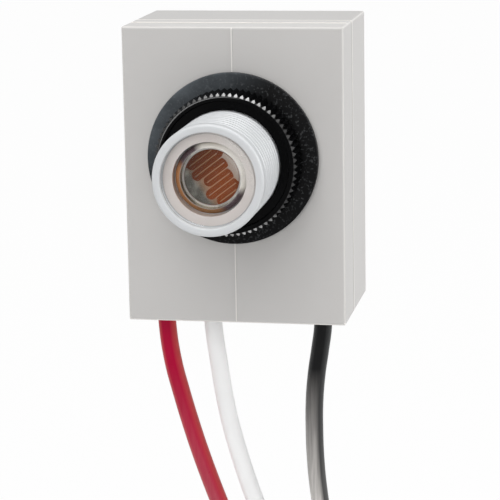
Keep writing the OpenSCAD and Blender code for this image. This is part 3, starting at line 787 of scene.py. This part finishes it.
class PHOTOCELL_OT_light_cell(bpy.types.Operator):
    """Casts the clear cap over the cell and finishes its film, electrodes, base and post."""

    bl_idname = "photocell.light_cell"
    bl_label = "Light cell"

    def execute(self, context):
        sizes = context.scene.photocell_neck
        finish = context.scene.photocell_finishes
        low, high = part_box("cell_cover")
        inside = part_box("cell_film")[1].x + 0.1 * MM
        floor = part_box("cell_electrodes")[0].y - 0.03 * MM
        soft = sizes.cap_round
        outline = [(0, low.y), (high.x - soft, low.y)]
        outline += arc((high.x - soft, low.y + soft), soft, -90, 0, 8)
        outline += [(high.x, high.y), (inside, high.y), (inside, floor), (0, floor)]
        cap = turned("cell_cap", outline, crease=30)
        cap.visible_shadow = False
        stand_for(cap, "cell_cover", "case", cast_clear_resin(finish))
        stand_for(self.electrodes(), "cell_electrodes", "case", evaporated_metal(finish))
        dress(sintered_film(finish), "cell_film")
        dress(ceramic_with_painted_rim(), "cell_base")
        # Moulded urea post: white with a dull gloss.
        urea = grained("moulded_urea", linear("#d8d9da"), linear("#c9cacb"), 0.4, 0.4, 0.004, 5.0)
        dress(urea, "cell_post")
        return {"FINISHED"}

    def electrodes(self):
        """Two combs on the film: fingers from each side in turn, and pads with a bay at each turn."""
        plates = [self.plate(self.pad(LEFT_TURNS, -1, TRACK_HALF), 0.0),
                  self.plate(self.pad(RIGHT_TURNS[1:], 1, SHALLOW_BAY), 0.0)]
        for turns, side, share in ((LEFT_TURNS, 1, 1.0), (RIGHT_TURNS, -1, SHORT_SHARE)):
            for across, turn in turns:
                held = side * math.sqrt(FILM_EDGE ** 2 - across ** 2) * share
                plates.append(self.plate(self.finger(across, turn + side * FINGER_STOP, held), 0.01 * MM))
        bpy.ops.object.select_all(action="DESELECT")
        for plate in plates:
            plate.select_set(True)
        bpy.context.view_layer.objects.active = plates[0]
        bpy.ops.object.join()
        plates[0].name = plates[0].data.name = "electrode_combs"
        return plates[0]

    def pad(self, turns, side, bay):
        """A pad's outline: a round bay of some depth at each turn of the track, closed along the rim."""
        bays = []
        for across, turn in turns:
            for step in range(9):
                swing = math.radians(22.5 * step)
                along = turn - side * (1 - math.sin(swing)) * bay
                bays.append((along, across - TRACK_HALF * math.cos(swing)))
        bays = [spot for spot in bays if math.hypot(*spot) < FILM_EDGE]
        first = math.atan2(bays[0][1], bays[0][0])
        last = math.atan2(bays[-1][1], bays[-1][0])
        if side < 0:
            first += math.tau if first < 0 else 0.0
            last += math.tau if last < 0 else 0.0
        rim = [last + (first - last) * step / 24 for step in range(25)]
        return bays + [(FILM_EDGE * math.cos(turn), FILM_EDGE * math.sin(turn)) for turn in rim]

    def finger(self, across, free, held):
        """A finger's outline, from its free end, which is round, to where its pad holds it."""
        way = FINGER_HALF if held > free else -FINGER_HALF
        swings = [math.radians(45 * step) for step in range(5)]
        nose = [(free - way * math.sin(swing), across + FINGER_HALF * math.cos(swing)) for swing in swings]
        return nose + [(held, across - FINGER_HALF), (held, across + FINGER_HALF)]

    def plate(self, outline, sunk):
        """Cuts one outline, given in mm along and across the fingers, out of the thin metal film."""
        low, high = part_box("cell_electrodes")
        places = [((along * FINGER_COS + across * FINGER_SIN) * MM, low.y + sunk,
                   (along * FINGER_SIN - across * FINGER_COS) * MM) for along, across in outline]
        piece = draw_line("electrode_plate", places)
        bpy.ops.mesh.select_all(action="SELECT")
        bpy.ops.mesh.edge_face_add()
        bpy.ops.mesh.extrude_region_move(TRANSFORM_OT_translate={"value": (0, high.y - low.y - sunk, 0)})
        close_mesh(30)
        return piece


class PHOTOCELL_OT_locknut(bpy.types.Operator):
    """Cuts one knurl tooth, copies it round into the locknut, and turns the gasket behind it."""

    bl_idname = "photocell.locknut"
    bl_label = "Locknut and gasket"

    def execute(self, context):
        sizes = context.scene.photocell_nut
        finish = context.scene.photocell_finishes
        nut = self.nut(sizes)
        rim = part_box("locknut")[1].x - sizes.tooth_depth - 0.2 * MM
        stand_for(nut, "locknut", "locknut", black_nylon(finish, rim))
        self.paint_tooth_glints(nut, sizes, scuffed_nylon(finish, sizes.teeth))
        stand_for(self.washer(sizes), "gasket", "gasket", neoprene(finish))
        return {"FINISHED"}

    def paint_tooth_glints(self, nut, sizes, finish):
        """Gives the bevelled tooth ends their painted highlight finish."""
        nut.data.materials.append(finish)
        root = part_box("locknut")[1].x - sizes.tooth_depth
        for patch in nut.data.polygons:
            reach = math.hypot(patch.center.x, patch.center.z)
            outward = (patch.normal.x * patch.center.x + patch.normal.z * patch.center.z) / reach
            if reach > root and patch.normal.y < -0.4 and outward > 0.4:
                patch.material_index = 1

    def nut(self, sizes):
        """The ring nut: toothed wall with bevelled tooth ends, raised rim and dished face."""
        low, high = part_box("locknut")
        tip = high.x
        root = tip - sizes.tooth_depth
        bore = NECK_RADIUS + sizes.clearance
        dish = root - sizes.rim_width
        step = math.tau / sizes.teeth
        floor = low.y + sizes.dish
        section = [(bore, high.y), (root, high.y), (root, low.y), (root - 0.05 * MM, low.y), (dish, low.y),
                   (dish - 0.15 * MM, floor), (bore, floor), (bore, high.y)]
        piece = draw_line("knurled_nut", section)
        bpy.ops.mesh.select_all(action="SELECT")
        bpy.ops.mesh.spin(steps=2, angle=step, center=(0, 0, 0), axis=(0, 1, 0))

        def on_crest(place):
            turn = abs(math.atan2(place.z, place.x))
            return abs(turn - step / 2) < step / 8 and math.hypot(place.x, place.z) > root - 0.01 * MM

        pick(piece, on_crest)
        bpy.ops.transform.resize(value=(tip / root, 1, tip / root), center_override=(0, 0, 0))
        pick(piece, lambda place: on_crest(place) and place.y < low.y + 0.01 * MM)
        bpy.ops.transform.translate(value=(0, sizes.end_slope, 0))
        bpy.ops.mesh.select_all(action="SELECT")
        bpy.ops.mesh.spin(steps=sizes.teeth - 1, dupli=True, angle=math.tau - step, center=(0, 0, 0),
                          axis=(0, 1, 0))
        bpy.ops.mesh.select_all(action="SELECT")
        bpy.ops.transform.rotate(value=step / 2, orient_axis="Y", center_override=(0, 0, 0))
        close_mesh(30)
        edges = piece.modifiers.new("moulded_edges", "BEVEL")
        edges.width = sizes.edge_soft
        edges.segments = 2
        edges.limit_method = "ANGLE"
        edges.angle_limit = math.radians(28)
        bpy.ops.object.modifier_apply(modifier=edges.name)
        bpy.ops.object.shade_smooth_by_angle(angle=math.radians(24))
        return piece

    def washer(self, sizes):
        """The flat gasket with its die-cut edges softened."""
        low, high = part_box("gasket")
        soft = sizes.gasket_round
        bore = NECK_RADIUS + sizes.clearance
        outline = [(bore, high.y), (bore, low.y + 0.1 * MM), (bore + 0.1 * MM, low.y)]
        outline += arc((high.x - soft, low.y + soft), soft, -90, 0, 4)
        outline += arc((high.x - soft, high.y - soft), soft, 0, 90, 4)
        outline += [(bore, high.y)]
        return turned("rubber_gasket", outline, crease=40)


class PHOTOCELL_OT_switch_works(bpy.types.Operator):
    """Finishes the pieces inside the case: plate, brass, bimetal, contacts, heater and wires."""

    bl_idname = "photocell.switch_works"
    bl_label = "Switch works"

    def execute(self, context):
        finish = context.scene.photocell_finishes
        # Moulded phenolic plate: chocolate brown with a paler wood-flour fleck.
        phenolic = grained("moulded_phenolic", linear("#6b4a30"), linear("#4c3220"), 0.48, 0.3, 0.008, 0.9)
        dress(phenolic, "switch_base")
        # Stamped brass: yellow, with rolling lines up the strips.
        brass = brushed("stamped_brass", finish.brass, 0.3, 0.1, 2)
        dress(brass, "blade_bracket", "contact_arm", "red_terminal", "white_terminal", "black_terminal",
              "rivets")
        # Rolled bimetal strip: warm grey, with fine lengthwise rolling lines.
        dress(brushed("rolled_bimetal", linear("#bdb0a2"), 0.34, 0.08, 2), "bimetal_blade")
        # Silver contact buttons: pale and lightly scuffed.
        dress(brushed("scuffed_silver", linear("#dcdad4"), 0.24, 0.05, 0), "moving_contact", "fixed_contact")
        # Resin-dipped heater resistor: tan, soft gloss.
        dress(grained("dipped_resin", linear("#ad9a7c"), linear("#97835f"), 0.4, 0.3, 0.01, 2.0), "heater")
        # Tinned copper wire: grey, dull where the tin froze.
        dress(brushed("tinned_copper", linear("#c8c8c6"), 0.36, 0.1, 1), "heater_leads", "cell_leads")
        return {"FINISHED"}


class PHOTOCELL_OT_stage(bpy.types.Operator):
    """Sets the pale floor, white surround, soft lamps and the camera."""

    bl_idname = "photocell.stage"
    bl_label = "Stage"

    def execute(self, context):
        scene = context.scene
        scene.view_settings.view_transform = "Standard"
        self.floor()
        self.surround(scene)
        for name, way, away, across, watts in LAMPS:
            self.lamp(name, Vector(way), away, across, watts)
        self.camera(scene)
        return {"FINISHED"}

    def seen_directly(self, tree):
        """A share that is 1 for rays of the camera, mirrors and clear pieces, and 0 for plain light."""
        path = add_node(tree, "LightPath").node.outputs
        share = path["Is Camera Ray"]
        for ray in ("Is Glossy Ray", "Is Transmission Ray"):
            share = add_node(tree, "Math", (share, path[ray]), operation="MAXIMUM")
        return share

    def floor(self):
        """A wide pale floor just under the leads, white to the eye but still taking a faint shadow."""
        bpy.ops.object.select_all(action="DESELECT")
        bpy.ops.mesh.primitive_plane_add(size=12, location=(0, 0, SOLIDS_BOX[0][2] - 4 * MM))
        floor = bpy.context.object
        floor.name = "pale_floor"
        bpy.ops.object.transform_apply(location=True, rotation=False, scale=False)
        made, tree, shader = blank_material("pale_paper")
        feed(shader, {"Base Color": linear("#eeeeee"), "Roughness": 0.9})
        glow = add_node(tree, "Emission", (linear("#ffffff"), 1.0))
        share = add_node(tree, "Math", (self.seen_directly(tree), 0.97), operation="MULTIPLY")
        both = add_node(tree, "MixShader", (share, shader.outputs["BSDF"], glow))
        feed(tree.nodes["Material Output"], {"Surface": both})
        floor.data.materials.append(made)

    def surround(self, scene):
        """Plain white all round to the eye, and a soft even light on the object."""
        world = bpy.data.worlds.new("white_surround")
        world.use_nodes = True
        tree = world.node_tree
        level = add_node(tree, "MapRange", (self.seen_directly(tree), 0.0, 1.0, 0.42, 1.0))
        feed(tree.nodes["Background"], {"Color": linear("#ffffff"), "Strength": level})
        scene.world = world

    def lamp(self, name, way, away, across, watts):
        """A soft lamp of a given width and height that faces the object."""
        light = bpy.data.lights.new(name, "AREA")
        light.shape = "RECTANGLE"
        light.size, light.size_y = across
        light.energy = watts
        lamp = bpy.data.objects.new(name, light)
        turn = way.to_track_quat("Z", "Y").to_matrix().to_4x4()
        lamp.matrix_world = Matrix.Translation(LAMP_AIM + way.normalized() * away) @ turn
        bpy.context.scene.collection.objects.link(lamp)

    def camera(self, scene):
        """The photograph's viewpoint: a long lens a little above, from the front right."""
        view = bpy.data.cameras.new("photo_camera")
        view.sensor_fit = "HORIZONTAL"
        view.sensor_width = 36.0
        view.lens = 158.4
        camera = bpy.data.objects.new("photo_camera", view)
        right = Vector((0.98283, 0.18375, -0.0167))
        up = Vector((-0.02257, 0.20959, 0.97753))
        back = Vector((0.18313, -0.96037, 0.21014))
        stand = Vector((0.08271, -0.40914, 0.07305))
        camera.matrix_world = Matrix.Translation(stand) @ Matrix((right, up, back)).transposed().to_4x4()
        scene.collection.objects.link(camera)
        scene.camera = camera


class PHOTOCELL_PT_sidebar(bpy.types.Panel):
    """Lists the switch's pieces, sizes and colours."""

    bl_idname = "PHOTOCELL_PT_sidebar"
    bl_label = "Photocell switch"
    bl_space_type = "VIEW_3D"
    bl_region_type = "UI"
    bl_category = "Photocell"

    def draw(self, context):
        for kind in PIECES:
            self.layout.operator(kind.bl_idname)
        for group in GROUPS:
            held = getattr(context.scene, group)
            box = self.layout.box()
            for name in held.bl_rna.properties.keys():
                if name not in ("rna_type", "name"):
                    box.prop(held, name)


GROUPS = {
    "photocell_neck": NeckSizes,
    "photocell_nut": NutSizes,
    "photocell_leads": LeadSizes,
    "photocell_finishes": Finishes,
}
PIECES = [
    PHOTOCELL_OT_stage,
    PHOTOCELL_OT_leads,
    PHOTOCELL_OT_case,
    PHOTOCELL_OT_neck,
    PHOTOCELL_OT_light_cell,
    PHOTOCELL_OT_locknut,
    PHOTOCELL_OT_switch_works,
]


def register():
    """Adds the property groups, operators and panel."""
    for kind in [*GROUPS.values(), *PIECES, PHOTOCELL_PT_sidebar]:
        bpy.utils.register_class(kind)
    for group, kind in GROUPS.items():
        setattr(bpy.types.Scene, group, bpy.props.PointerProperty(type=kind))


def unregister():
    """Takes them away again."""
    for group in GROUPS:
        delattr(bpy.types.Scene, group)
    for kind in reversed([*GROUPS.values(), *PIECES, PHOTOCELL_PT_sidebar]):
        bpy.utils.unregister_class(kind)


def main():
    """Models every piece in order."""
    register()
    bpy.ops.photocell.stage()
    bpy.ops.photocell.leads()
    bpy.ops.photocell.case()
    bpy.ops.photocell.neck()
    bpy.ops.photocell.light_cell()
    bpy.ops.photocell.locknut()
    bpy.ops.photocell.switch_works()


if __name__ == "__main__":
    main()
